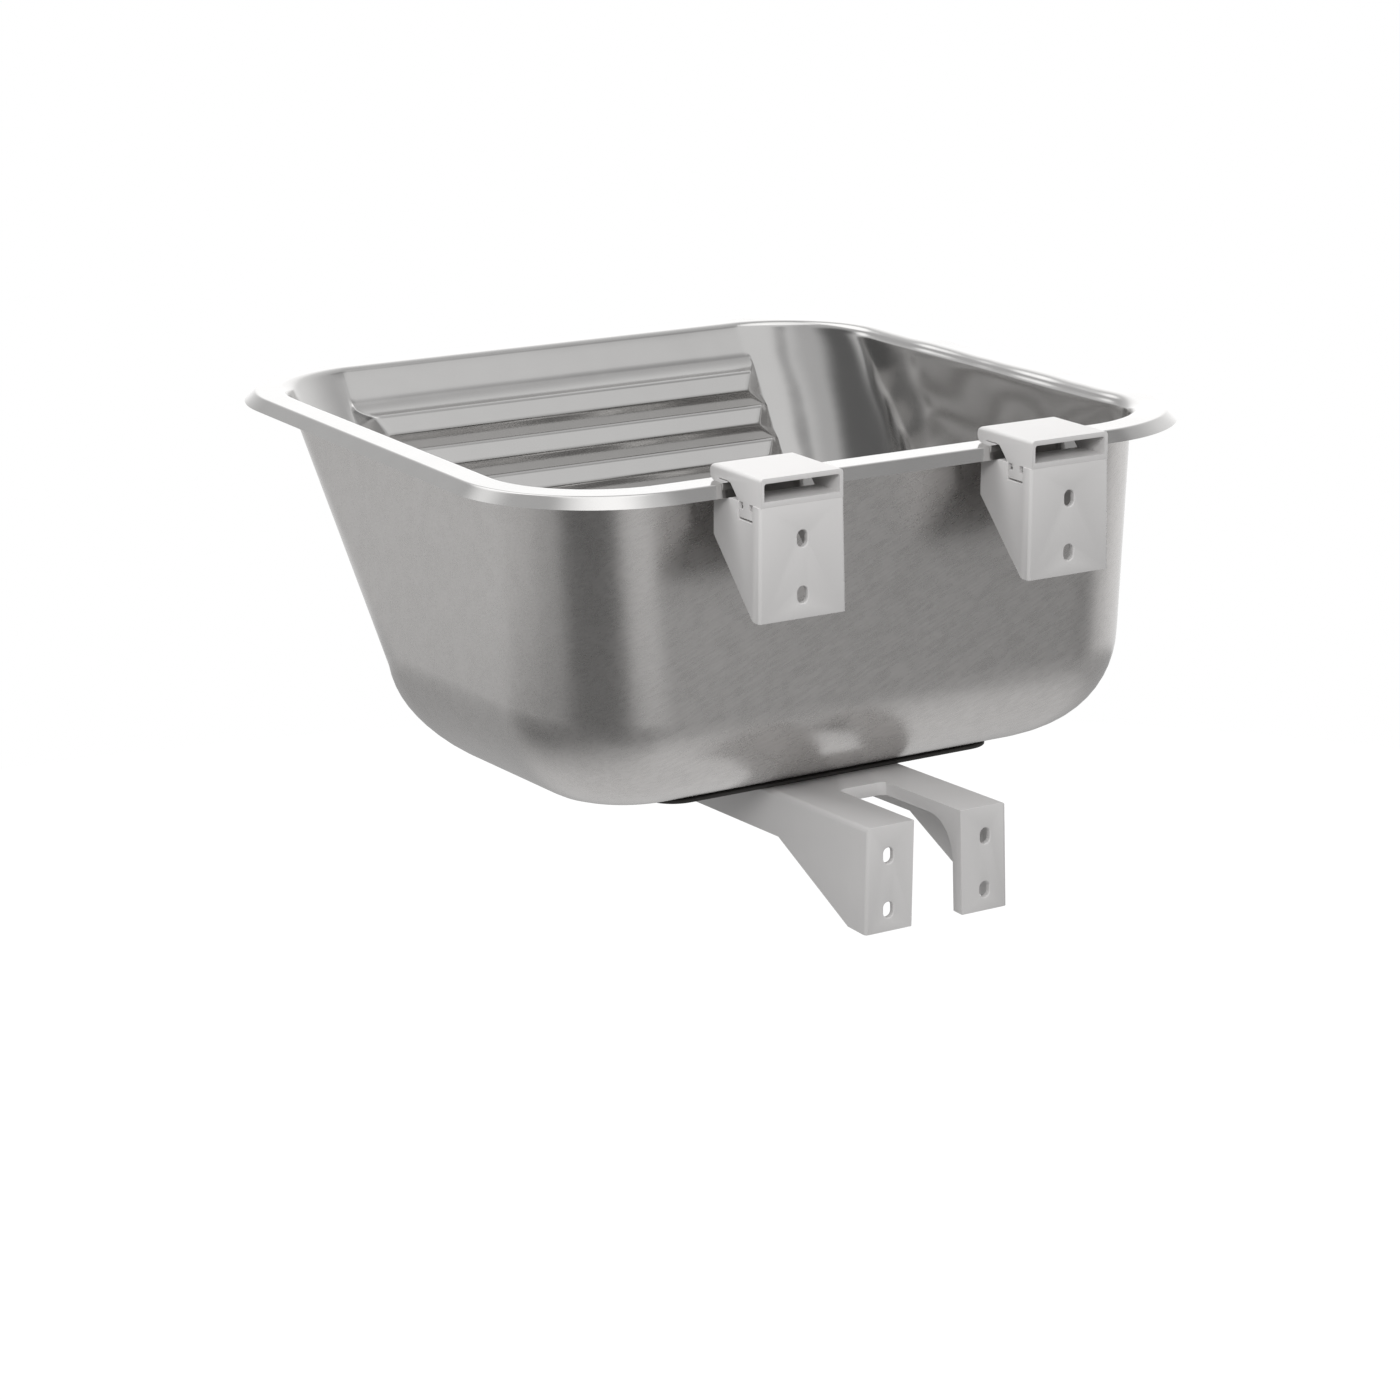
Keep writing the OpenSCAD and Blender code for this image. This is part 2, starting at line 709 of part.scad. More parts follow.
module lower_support() {
    color(plastic)
        difference() {
            union() {
                intersection() {
                    difference() {
                        across(arms_w)
                            support_outline();
                        across(arms_top_w - 2 * support_t)
                            support_outline(support_t);
                    }
                    round_top(support_edge_r);
                    drafted(arms_w, support_d + overrun, support_corner_r, support_foot, arm_h, arm_draft);
                }
                intersection() {
                    across(arms_w)
                        gap_wall_outline();
                    difference() {
                        gap_room(support_t);
                        gap_room(0);
                    }
                }
            }
            gap_room(0);
            for (x = [-arm_x, arm_x])
                for (z = [0, arm_slot_pitch])
                    translate([x, 0, support_top - arm_slot_drop - z])
                        slot_cut(support_plate_t, slot_chamfer);
        }
}

// Pad stuck under the bottom, between the bowl and the support
module sound_pad() {
    color(pad_black)
        translate([0, 0, support_top])
            rotate([bottom_fall, 0, 0])
                translate([0, -pad_y, 0])
                    linear_extrude(pad_t)
                        round_rect(pad_w, pad_d, pad_r);
}

bowl();
sound_pad();
console_left();
console_right();
rim_clip_left();
rim_clip_right();
lower_support();
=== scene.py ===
"""Looks of a wall-hung pressed steel trough with a washboard front, its consoles, rim clips and support."""

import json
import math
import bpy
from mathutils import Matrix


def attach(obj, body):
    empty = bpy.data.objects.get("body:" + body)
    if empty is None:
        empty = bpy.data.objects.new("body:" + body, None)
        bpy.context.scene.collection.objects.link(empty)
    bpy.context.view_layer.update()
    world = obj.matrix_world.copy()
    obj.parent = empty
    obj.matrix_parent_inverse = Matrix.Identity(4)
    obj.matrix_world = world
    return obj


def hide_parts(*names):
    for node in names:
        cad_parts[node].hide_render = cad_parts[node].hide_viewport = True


bl_info = {
    "name": "Wall-hung steel trough",
    "version": (1, 0, 0),
    "blender": (4, 5, 0),
    "location": "3D View > Sidebar > Trough",
    "description": "Dresses the packed trough with a smooth pressing, edge-broken mouldings and finishes",
    "category": "Object",
}

from collections import namedtuple

import bmesh
import bpy
from bpy.props import FloatProperty, FloatVectorProperty, IntProperty, PointerProperty
from mathutils import Matrix, Vector

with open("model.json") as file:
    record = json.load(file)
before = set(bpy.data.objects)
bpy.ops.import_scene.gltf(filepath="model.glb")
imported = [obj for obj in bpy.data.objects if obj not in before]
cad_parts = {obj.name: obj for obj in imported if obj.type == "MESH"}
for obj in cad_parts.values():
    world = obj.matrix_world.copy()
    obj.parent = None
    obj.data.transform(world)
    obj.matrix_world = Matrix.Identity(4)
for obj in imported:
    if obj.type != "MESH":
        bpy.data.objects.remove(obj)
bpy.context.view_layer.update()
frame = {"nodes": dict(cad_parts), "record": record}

MM = 0.001
QUARTER_TURN = math.pi / 2
WHITE = (1, 1, 1)

# The record's material slots, and the two materials of the bowl
OUTSIDE, INSIDE = range(2)

# The parts of the pressing's section, from the lip's edge to the bottom
LIP, LIP_BEND, FLANGE, MOUTH, WALL, FOOT = range(6)

# A wall of the bowl in section, a place along all sections at once, and a point of the washboard
Wall = namedtuple("Wall", "ledge slope foot_radius")
Station = namedtuple("Station", "part share board")
BoardPoint = namedtuple("BoardPoint", "distance height along upward taper")

# Steps across the bends, and round a corner
LIP_STEPS = 6
MOUTH_STEPS = 8
FOOT_STEPS = 14
CORNER_STEPS = 22
RAMP_STEPS = 8
BEND_STEP = math.radians(18)
SEAT_BEND_STEP = math.radians(9)

# Where the points of straight stretches stand
LIP_SHARES = (0, 0.5, 0.9)
FLANGE_SHARES = (0.06, 0.5, 0.94)
STRAIGHT_SHARES = (0.015, 0.08, 0.25, 0.5, 0.75, 0.92, 0.985)
FLAT_SHARES = (0.01, 0.25, 0.5, 0.75, 0.99)
END_SHARES = (0.07, 0.14, 0.2, 0.5, 0.8, 0.86, 0.93, 1.0)
ABOVE_BOARD_SHARE = 1 / 3
BELOW_BOARD_SHARES = (0.1, 0.5, 0.94)
BOTTOM_SHARES = (0.03, 0.3, 0.6, 0.85)

# How the pressing's bends and ends are set out
SOFT_SHARE = 0.2
BOARD_REACH_SHARE = 5 / 6
BESIDE_BOARD = 2 * MM
BESIDE_BEND = 0.6 * MM
ROOM_BESIDE_BENDS = 2.4 * MM
STRAIGHT = 0.9999
AROUND_SEAT = 10 * MM
SHARP_EDGE = math.radians(50)

# What counts as one point and as one flat face in a node's mesh
SAME_POINT = 0.005 * MM
FLAT_FOLD = math.radians(0.5)

# Each moulding and its node
MOULDINGS = {
    "left_console": "console_left",
    "right_console": "console_right",
    "left_rim_clip": "rim_clip_left",
    "right_rim_clip": "rim_clip_right",
    "bowl_support": "lower_support",
}

# Noise in the finishes: features to a metre, how they are drawn out and turned, their detail and roughness
PLAIN_NOISE = (1, (1, 1, 1), (0, 0, 0), 3, 0.55)
Noise = namedtuple("Noise", "scale stretch turn detail rough", defaults=PLAIN_NOISE)

# Satin steel: its noises, where they turn from faint to full, its tones, changes of roughness and relief
SATIN_GRAIN = Noise(scale=700, rough=0.7)
SATIN_CLOUD = Noise(scale=9, detail=4)
SATIN_MOTTLE = Noise(scale=70, detail=5, rough=0.7)
SATIN_RUB = Noise(stretch=(70, 500, 700), turn=(0, 0.4, 0), detail=4)
SATIN_SCRATCH = Noise(stretch=(12, 900, 900), turn=(0, 0.6, 0.1), detail=2)
MOTTLE_RANGE = (0.35, 0.65)
RUB_RANGE = (0.38, 0.62)
SCRATCH_RANGE = (0.69, 0.75)
CLOUD_SHARE, MOTTLE_SHARE, RUB_SHARE = 0.35, 0.3, 0.35
SATIN_DARK, SATIN_LIGHT = 0.90, 1.09
SATIN_SMOOTHER = 0.07
GRAIN_ROUGH, MOTTLE_ROUGH, RUB_ROUGH, SCRATCH_ROUGH = 0.05, 0.06, 0.05, 0.06
SCRATCH_DEPTH = 0.6
SATIN_WAVE_RELIEF = 0.35 * MM
SATIN_RELIEF = 0.008 * MM

# Polished steel: waves all over, and dents that grow towards the left wall
POLISHED_WAVES = Noise(scale=13, detail=1, rough=0.4)
POLISHED_DENTS = Noise(scale=17, detail=0)
POLISHED_RIPPLE = Noise(scale=45, detail=2)
POLISHED_MARKS = Noise(stretch=(60, 60, 900), turn=(0.1, 0.2, 0))
DENTS_FROM, DENTS_FULL = 0.12, 0.22
DENT_DEPTH = 7
POLISHED_DARK, POLISHED_LIGHT = 0.97, 1.03
POLISHED_SMOOTHER = 0.03
MARKS_ROUGH, RIPPLE_ROUGH = 0.04, 0.03
POLISHED_WAVE_RELIEF = 0.55 * MM
RIPPLE_RELIEF = 0.02 * MM

# Moulded plastic: the mould's texture and the flow of the melt
MOULD_TEXTURE = Noise(scale=1600, detail=2)
MELT_FLOW = Noise(scale=30, stretch=(1, 1, 0.4))
PLASTIC_DARK, PLASTIC_LIGHT = 0.97, 1.03
PLASTIC_SMOOTHER = 0.05
TEXTURE_ROUGH, FLOW_ROUGH = 0.06, 0.05
FLOW_RELIEF = 0.06 * MM
TEXTURE_RELIEF = 0.012 * MM

# Bitumen: its leathery grain and its patches
PAD_GRAIN = Noise(scale=420, detail=4)
PAD_PATCH = Noise(scale=25)
PAD_DARK, PAD_LIGHT = 0.8, 1.5
PAD_SMOOTHER = 0.1
PAD_GRAIN_ROUGH = 0.15
PAD_RELIEF = 0.15 * MM

# The camera's frame in pixels, its sensor in millimetres, and how far it sees in metres
PHOTO_WIDTH = 1400
SENSOR_WIDTH = 36
CLIP_END = 50

# The lamps, each with the panel's name of its power, and the point that they look at
Lamp = namedtuple("Lamp", "name place size power")
LAMPS = (
    Lamp(name="overhead_lamp", place=(0.2, -1.1, 2.1), size=(2.4, 1.6), power="overhead"),
    Lamp(name="side_lamp", place=(0.85, 1.05, 0.8), size=(0.7, 0.5), power="side"),
    Lamp(name="back_lamp", place=(-1.7, -3.2, 0.9), size=(5.2, 1.1), power="back"),
)
LIT_POINT = (0, -0.3, -0.1)

# The sky over matt surfaces: its strength low down, and the heights between which it grows
LOW_SKY_SHARE = 0.15
SKY_FROM, SKY_FULL = -0.6, 0.9

# The floor: its tone, how it shows to the camera and in gloss, where it glows, and the painted shade that
# dims that glow away from the middle and on one side
FLOOR_TONE = (0.4, 0.4, 0.4)
FLOOR_SEGMENTS = 96
FLOOR_MIDDLE_Y = -0.3
SEEN_FLOOR = 1.3
GLOW_SHARE = 0.7
MIRRORED_FLOOR = 0.92
FAR_DIMMING = 0.45
FAR_RANGE = (0.1, 0.75)
SIDE_DIMMING = 0.35
SIDE_RANGE = (0.0, 0.8)
DARK_SIDE = math.radians(122)

# A soft card in the studio that steel mirrors: its middle, core and edge in degrees, its change of strength
Card = namedtuple("Card", "azimuth elevation core edge change")
CARDS = (
    Card(azimuth=140, elevation=-17, core=18, edge=36, change=-0.40),
    Card(azimuth=188, elevation=-7, core=6, edge=26, change=0.24),
    Card(azimuth=224, elevation=-23, core=10, edge=24, change=-0.30),
    Card(azimuth=50, elevation=-15, core=20, edge=40, change=0.15),
    Card(azimuth=80, elevation=24, core=8, edge=30, change=-0.42),
    Card(azimuth=153, elevation=50, core=2, edge=8, change=-0.42),
    Card(azimuth=188, elevation=52, core=12, edge=43, change=0.28),
    Card(azimuth=247, elevation=55, core=4, edge=12, change=-0.26),
    Card(azimuth=15, elevation=52, core=12, edge=21, change=1.1),
    Card(azimuth=44, elevation=19, core=3, edge=13, change=0.9),
    Card(azimuth=0, elevation=90, core=14, edge=24, change=0.8),
    Card(azimuth=325, elevation=9, core=10, edge=35, change=0.38),
    Card(azimuth=310, elevation=-5, core=20, edge=75, change=0.44),
)


def length(name, description, default):
    """A length on the panel."""
    return FloatProperty(name=name, description=description, default=default, unit="LENGTH", precision=4)


def angle(name, description, default):
    """An angle on the panel, given in degrees."""
    return FloatProperty(name=name, description=description, default=math.radians(default),
                         subtype="ANGLE", unit="ROTATION")


def share(name, description, default):
    """A share from 0 to 1 on the panel."""
    return FloatProperty(name=name, description=description, default=default, min=0, max=1,
                         subtype="FACTOR")


def power(name, description, default):
    """A lamp's power on the panel."""
    return FloatProperty(name=name, description=description, default=default, min=0, unit="POWER")


def colour(name, description, default):
    """A colour on the panel."""
    return FloatVectorProperty(name=name, description=description, default=default, min=0, max=1,
                               size=3, subtype="COLOR")


class RimSizes(bpy.types.PropertyGroup):
    """Sizes of the rim."""

    width: length("Width", "Width over the lip", 530 * MM)
    depth: length("Depth", "Depth over the lip, back to front", 516.5 * MM)
    wall_gap: length("Wall gap", "Gap from the wall to the lip", 37 * MM)
    corner: length("Corner radius", "Corner radius over the lip", 104 * MM)
    lip_run: length("Lip width", "Width of the sloping lip in plan", 7.2 * MM)
    lip_drop: length("Lip height", "Height of the sloping lip", 7.2 * MM)
    lip_bend: length("Lip bend", "Outside radius between lip and flange", 2.5 * MM)
    side_ledge: length("Side flange", "Flange from lip to wall at a side", 22.8 * MM)
    back_ledge: length("Back flange", "Flange from lip to wall at the back", 25.8 * MM)
    front_ledge: length("Front flange", "Flange from lip to wall at the front", 23.3 * MM)
    mouth_bend: length("Mouth bend", "Radius from the flange into the bowl", 8 * MM)


class BowlSizes(bpy.types.PropertyGroup):
    """Sizes of the bowl's walls and bottom."""

    sheet: length("Sheet", "Thickness of the sheet", 1.2 * MM)
    height: length("Height", "Rim's top to the bottom's outside at the back", 224 * MM)
    side_slope: angle("Side slope", "Slope of the side walls from upright", 1.8)
    back_slope: angle("Back slope", "Slope of the back wall from upright", 0.3)
    front_slope: angle("Front slope", "Slope of the washboard wall from upright", 36.5)
    fall: angle("Fall", "Fall of the bottom towards the front", 2.75)
    side_foot: length("Side foot radius", "Between the side walls and the bottom", 77 * MM)
    back_foot: length("Back foot radius", "Between the back wall and the bottom", 68 * MM)
    front_foot: length("Front foot radius", "Between washboard wall and bottom", 60 * MM)
    back_corner: length("Back corner", "Back corner radius at the mouth", 72 * MM)
    back_corner_foot: length("Back corner at foot", "Back corner radius at the foot", 78 * MM)
    back_corner_base: length("Back corner below", "Back corner radius on the bottom", 40 * MM)
    front_corner: length("Front corner", "Front corner radius at the mouth", 80 * MM)
    front_corner_foot: length("Front corner at foot", "Front corner radius at the foot", 74 * MM)
    front_corner_base: length("Front corner below", "Front corner radius on the bottom", 80 * MM)
    hole: length("Waste hole", "Radius of the waste hole", 26 * MM)
    seat: length("Waste seat", "Radius of the flat seat round the hole", 34 * MM)
    seat_drop: length("Seat depth", "Depth of the seat below the bottom", 4 * MM)
    seat_bend: length("Seat bend", "Radius of the bends round the seat", 2.5 * MM)
    waste_from_wall: length("Waste from wall", "Distance of the hole from the wall", 268 * MM)


class BoardSizes(bpy.types.PropertyGroup):
    """Sizes of the washboard."""

    ribs: IntProperty(name="Ribs", description="Number of ribs", default=5, min=1, max=6)
    pitch: length("Pitch", "From one rib to the next down the slope", 26.4 * MM)
    start: length("Start", "Down the slope to where the panel leaves the wall", 14 * MM)
    rib_start: length("First rib", "Down the slope to the first rib's face", 35.7 * MM)
    face: length("Face", "Width of a rib's face", 13.2 * MM)
    rise: length("Rise", "Height of the ribs above the wall", 12.5 * MM)
    valley: length("Valley", "Height of the valleys above the wall", 2 * MM)
    under: length("Underside", "Crest to valley, down the slope", 8.9 * MM)
    taper: length("End taper", "How far a crest is drawn in at its ends", 8 * MM)
    crest_bend: length("Crest bend", "Outside radius along the crests", 1 * MM)
    valley_bend: length("Valley bend", "Outside radius along the valleys", 3 * MM)
    end_run: length("Shortest end", "Least width of a rib's sloping end", 3 * MM)


class MouldingSizes(bpy.types.PropertyGroup):
    """Edges of the mouldings and of the pad."""

    edge: length("Broken edge", "Radius of a moulding's small edges", 0.7 * MM)
    pad_edge: length("Pad edge", "Radius of the pad's edges", 0.6 * MM)
    steps: IntProperty(name="Steps", description="Steps across a broken edge", default=3, min=1, max=6)
    fold: angle("Fold", "Least angle between faces of an edge that is broken", 30)


class Finishes(bpy.types.PropertyGroup):
    """Colours and gloss."""

    steel: colour("Steel", "Colour of the steel", (0.56, 0.545, 0.535))
    polished: colour("Polished steel", "Colour of the steel inside the bowl", (0.62, 0.613, 0.606))
    outside_rough: share("Outside roughness", "Roughness of the satin outside", 0.27)
    inside_rough: share("Inside roughness", "Roughness of the polished inside", 0.15)
    plastic: colour("Plastic", "Colour of the mouldings", (0.61, 0.60, 0.595))
    plastic_rough: share("Plastic roughness", "Roughness of the mouldings", 0.42)
    pad: colour("Pad", "Colour of the bitumen pad", (0.036, 0.034, 0.032))
    pad_rough: share("Pad roughness", "Roughness of the pad", 0.78)


class StageSizes(bpy.types.PropertyGroup):
    """Camera, lamps and floor."""

    azimuth: angle("Azimuth", "Azimuth of the camera", 150.27)
    elevation: angle("Elevation", "Elevation of the camera", 16.151)
    roll: angle("Roll", "Roll of the camera", -0.839)
    lens: FloatProperty(name="Lens", description="Focal length in pixels of the frame",
                        default=3460.27, min=100)
    eye: FloatVectorProperty(name="Eye", description="Place of the camera", size=3,
                             default=(1.1673, 1.7419, 0.4612), subtype="TRANSLATION", unit="LENGTH")
    floor_drop: length("Floor", "Height of the rim above the floor", 880 * MM)
    floor_radius: length("Floor radius", "Radius of the floor", 2200 * MM)
    ambient: share("Ambient", "Light from above and all round", 0.86)
    surroundings: share("Surroundings", "Strength of the studio that steel mirrors", 0.56)
    overhead: power("Overhead", "Power of the overhead lamp", 27)
    side: power("Side", "Power of the lamp on the wall's side", 13)
    back: power("Back", "Power of the lamp behind the front", 23)


def blend(start, end, part):
    """Straight blend of two numbers or vectors."""
    return start + (end - start) * part


def eased(part):
    """Slow start and end."""
    return part * part * (3 - 2 * part)


def held(part):
    """A number held to 0 and 1."""
    return min(1, max(0, part))


def direction(azimuth, elevation):
    """The direction at an azimuth from the front and an elevation."""
    level = math.cos(elevation)
    return Vector((math.sin(azimuth) * level, -math.cos(azimuth) * level, math.sin(elevation)))


def left_of(start, end):
    """The unit normal on the left of the way from one point to another."""
    return Vector((start.y - end.y, end.x - start.x)).normalized()


def between(start, end, shares):
    """Points at some shares of the way from one point to another."""
    return [start.lerp(end, x) for x in shares]


def edge_loop(bm, verts):
    """The edges of a closed loop of vertices."""
    return [bm.edges.get((a, b)) for a, b in zip(verts, verts[1:] + verts[:1])]


def place_verts(verts, points):
    """Moves vertices to points, in order."""
    for vert, point in zip(verts, points):
        vert.co = point


def rounded(corners, radii, step):
    """Points and normals along a polyline whose corners are rounded, with points beside each bend."""
    made = [(corners[0], left_of(*corners[:2]))]
    for start, corner, end in zip(corners, corners[1:], corners[2:]):
        before = left_of(start, corner)
        after = left_of(corner, end)
        middle = (before + after).normalized()
        turn = before.angle_signed(after)
        if abs(turn) < step / 2:
            made.append((corner, middle))
            continue
        radius = radii[0] if turn > 0 else radii[1]
        sign = -1 if turn > 0 else 1
        centre_shift = radius / middle.dot(before)
        centre = corner + middle * centre_shift * sign
        steps = max(2, math.ceil(abs(turn) / step))
        for j in range(steps + 1):
            normal = before.copy()
            normal.rotate(Matrix.Rotation(-turn * j / steps, 2))
            made.append((centre - normal * radius * sign, normal))
    made.append((corners[-1], left_of(*corners[-2:])))
    full = []
    for (a, a_normal), (b, b_normal) in zip(made, made[1:]):
        full.append((a, a_normal))
        if (b - a).length > ROOM_BESIDE_BENDS and a_normal.dot(b_normal) > STRAIGHT:
            full.append((a + (b - a).normalized() * BESIDE_BEND, a_normal))
            full.append((b + (a - b).normalized() * BESIDE_BEND, b_normal))
    full.append(made[-1])
    return full


def soft_ramp(part):
    """Rises from 0 to 1 in a straight line whose ends are rounded."""
    if part < SOFT_SHARE:
        return part * part / (2 * SOFT_SHARE * (1 - SOFT_SHARE))
    if part > 1 - SOFT_SHARE:
        return 1 - soft_ramp(1 - part)
    return (part - SOFT_SHARE / 2) / (1 - SOFT_SHARE)


class Pressing:
    """Sections and rings of the pressed sheet."""

    def __init__(self, rim, bowl, board):
        self.rim, self.bowl, self.board = rim, bowl, board
        self.lip_angle = math.atan2(rim.lip_drop, rim.lip_run)
        self.half_width = rim.width / 2 - rim.lip_run - rim.side_ledge
        self.back_y = -(rim.wall_gap + rim.lip_run + rim.back_ledge)
        self.front_y = -(rim.wall_gap + rim.depth - rim.lip_run - rim.front_ledge)
        self.wall_height = bowl.height - rim.mouth_bend
        self.fall = math.tan(bowl.fall)
        self.fall_from = self.back_y - self.wall_height * math.tan(bowl.back_slope)
        self.side = Wall(rim.side_ledge, bowl.side_slope, bowl.side_foot)
        self.back = Wall(rim.back_ledge, bowl.back_slope, bowl.back_foot)
        self.front = Wall(rim.front_ledge, bowl.front_slope, bowl.front_foot)
        self.board_half = self.half_width - bowl.front_corner * BOARD_REACH_SHARE
        self.board_points = self.board_outline()

    def wall_start(self, wall):
        """Distance down a wall's slope at which the mouth's bend ends."""
        return -(self.rim.mouth_bend - self.bowl.sheet) * math.tan(wall.slope)

    def wall_end(self, wall):
        """Distance down a wall's slope at which the foot's bend starts."""
        turn = QUARTER_TURN - wall.slope
        return self.wall_height / math.cos(wall.slope) - wall.foot_radius * math.tan(turn / 2)

    def wall_share(self, wall, distance):
        """Share of a wall's straight stretch at which a distance down its slope lies."""
        start, end = self.wall_start(wall), self.wall_end(wall)
        return (distance - start) / (end - start)

    def wall_point(self, wall, distance, lift):
        """A point of a straight wall."""
        sine, cosine = math.sin(wall.slope), math.cos(wall.slope)
        return Vector((distance * sine + lift * cosine,
                       lift * sine - distance * cosine - self.rim.mouth_bend))

    def lip_end(self, wall, lift):
        """The lip's lower edge."""
        inset = (self.bowl.sheet - lift) / math.sin(self.lip_angle) - wall.ledge - self.rim.lip_run
        return Vector((inset, -self.rim.lip_drop))

    def lip_bend(self, wall, lift, part):
        """The bend between the lip and the flange."""
        turn = self.lip_angle * (1 - part)
        radius = self.rim.lip_bend - self.bowl.sheet + lift
        middle = self.rim.lip_bend * math.tan(self.lip_angle / 2) - wall.ledge
        return Vector((middle - radius * math.sin(turn), radius * math.cos(turn) - self.rim.lip_bend))

    def mouth_bend(self, wall, lift, part):
        """The bend between the flange and a wall."""
        turn = (QUARTER_TURN - wall.slope) * part
        radius = self.rim.mouth_bend - self.bowl.sheet + lift
        middle = (self.bowl.sheet - self.rim.mouth_bend) / math.cos(wall.slope)
        return Vector((middle + radius * math.sin(turn), radius * math.cos(turn) - self.rim.mouth_bend))

    def foot_bend(self, wall, lift, part):
        """The bend between a wall and the bottom."""
        turn = blend(wall.slope, QUARTER_TURN, part)
        radius = wall.foot_radius - lift
        middle = (self.wall_height * math.tan(wall.slope)
                  + wall.foot_radius * (1 - math.sin(wall.slope)) / math.cos(wall.slope))
        return Vector((middle - radius * math.cos(turn),
                       wall.foot_radius - self.bowl.height - radius * math.sin(turn)))

    def section(self, wall, station, lift):
        """Inset from the mouth and height of a wall's section, lift above its outside face."""
        part, place = station.part, station.share
        if part == LIP:
            return blend(self.lip_end(wall, lift), self.lip_bend(wall, lift, 0), place)
        if part == LIP_BEND:
            return self.lip_bend(wall, lift, place)
        if part == FLANGE:
            return blend(self.lip_bend(wall, lift, 1), self.mouth_bend(wall, lift, 0), place)
        if part == MOUTH:
            return self.mouth_bend(wall, lift, place)
        if part == WALL:
            distance = blend(self.wall_start(wall), self.wall_end(wall), place)
            return self.wall_point(wall, distance, lift)
        return self.foot_bend(wall, lift, place)

    def corner_radius(self, radii, station, lift):
        """Corner radius of a ring, from the radii at the mouth, foot and base."""
        mouth, foot, base = radii
        if station.part <= MOUTH:
            inset = self.section(self.side, station, lift).x
            return blend(mouth, self.rim.corner, -inset / (self.rim.side_ledge + self.rim.lip_run))
        if station.part == WALL:
            return blend(mouth, foot, station.share) - lift
        turn = station.share * QUARTER_TURN
        return blend(foot, base, eased(station.share)) - lift * math.cos(turn)

    def board_corners(self):
        """The washboard's corners down the slope, and the tapers of its ends there."""
        sizes = self.board
        corners = []
        run = sizes.rib_start - sizes.start
        for i in range(RAMP_STEPS):
            part = i / RAMP_STEPS
            corners.append(Vector((sizes.start + run * part, sizes.rise * part ** 2)))
        tapers = [(corners[0].x, 0)]
        for i in range(sizes.ribs):
            start = sizes.rib_start + i * sizes.pitch
            crest = start + sizes.face
            corners.append(Vector((start, sizes.rise)))
            corners.append(Vector((crest, sizes.rise)))
            if i == sizes.ribs - 1:
                run_out = sizes.under * sizes.rise / (sizes.rise - sizes.valley)
                corners.append(Vector((crest + run_out, 0)))
            else:
                corners.append(Vector((crest + sizes.under, sizes.valley)))
            tapers += [(start, 0), (crest, 1), (corners[-1].x, 0)]
        corners.append(Vector((corners[-1].x + BESIDE_BOARD, 0)))
        corners.insert(0, Vector((corners[0].x - BESIDE_BOARD, 0)))
        return corners, tapers

    def board_outline(self):
        """The washboard's outline down the slope, with its bends."""
        sizes = self.board
        corners, tapers = self.board_corners()
        made = []
        for point, normal in rounded(corners, (sizes.valley_bend, sizes.crest_bend), BEND_STEP):
            taper = 0
            for (a, a_taper), (b, b_taper) in zip(tapers, tapers[1:]):
                if a <= point.x <= b:
                    taper = blend(a_taper, b_taper, (point.x - a) / (b - a))
            made.append(BoardPoint(point.x, point.y, normal.x, normal.y, taper * sizes.taper))
        return made

    def stations(self):
        """Stations from the lip's edge to the end of the foot."""
        made = [Station(LIP, x, None) for x in LIP_SHARES]
        made += [Station(LIP_BEND, i / LIP_STEPS, None) for i in range(LIP_STEPS + 1)]
        made += [Station(FLANGE, x, None) for x in FLANGE_SHARES]
        made += [Station(MOUTH, i / MOUTH_STEPS, None) for i in range(MOUTH_STEPS + 1)]
        board = [Station(WALL, self.wall_share(self.front, p.distance), p) for p in self.board_points]
        made.append(Station(WALL, board[0].share * ABOVE_BOARD_SHARE, None))
        made += board
        made += [Station(WALL, blend(board[-1].share, 1, x), None) for x in BELOW_BOARD_SHARES]
        made += [Station(FOOT, i / FOOT_STEPS, None) for i in range(FOOT_STEPS + 1)]
        return made

    def fallen(self, x, y, z, part):
        """A point that follows the bottom's fall by its share of the height."""
        return Vector((x, y, z + self.fall * (y - self.fall_from) * part))

    def height_share(self, z):
        """Share of the walls' height that lies above z."""
        return held((-self.rim.mouth_bend - z) / self.wall_height)

    def ring(self, station, lift):
        """The points of a ring, from the right back corner round by the back and the left."""
        bowl, board = self.bowl, station.board
        walls = (self.side, self.back, self.front)
        side, back, front = [self.section(w, station, lift) for w in walls]
        low_side, low_back, low_front = [self.height_share(self.section(w, station, 0).y) for w in walls]
        half = self.half_width - side.x
        y_back = self.back_y - back.x
        y_front = self.front_y + front.x
        back_r = self.corner_radius(
            (bowl.back_corner, bowl.back_corner_foot, bowl.back_corner_base), station, lift)
        front_r = self.corner_radius(
            (bowl.front_corner, bowl.front_corner_foot, bowl.front_corner_base), station, lift)
        reach = self.end_reach(station, half - front_r)
        free = math.asin(held((reach - half + front_r) / front_r))

        def corner(middle, radius, start, stop, wall, low):
            """Points round a corner, whose height passes from the side wall's to another wall's."""
            made = []
            for i in range(CORNER_STEPS + 1):
                turn = blend(start, stop, i / CORNER_STEPS)
                part = math.sin(turn) ** 2
                x = middle[0] + radius * math.cos(turn)
                y = middle[1] + radius * math.sin(turn)
                made.append(self.fallen(x, y, blend(side.y, wall.y, part), blend(low_side, low, part)))
            return made

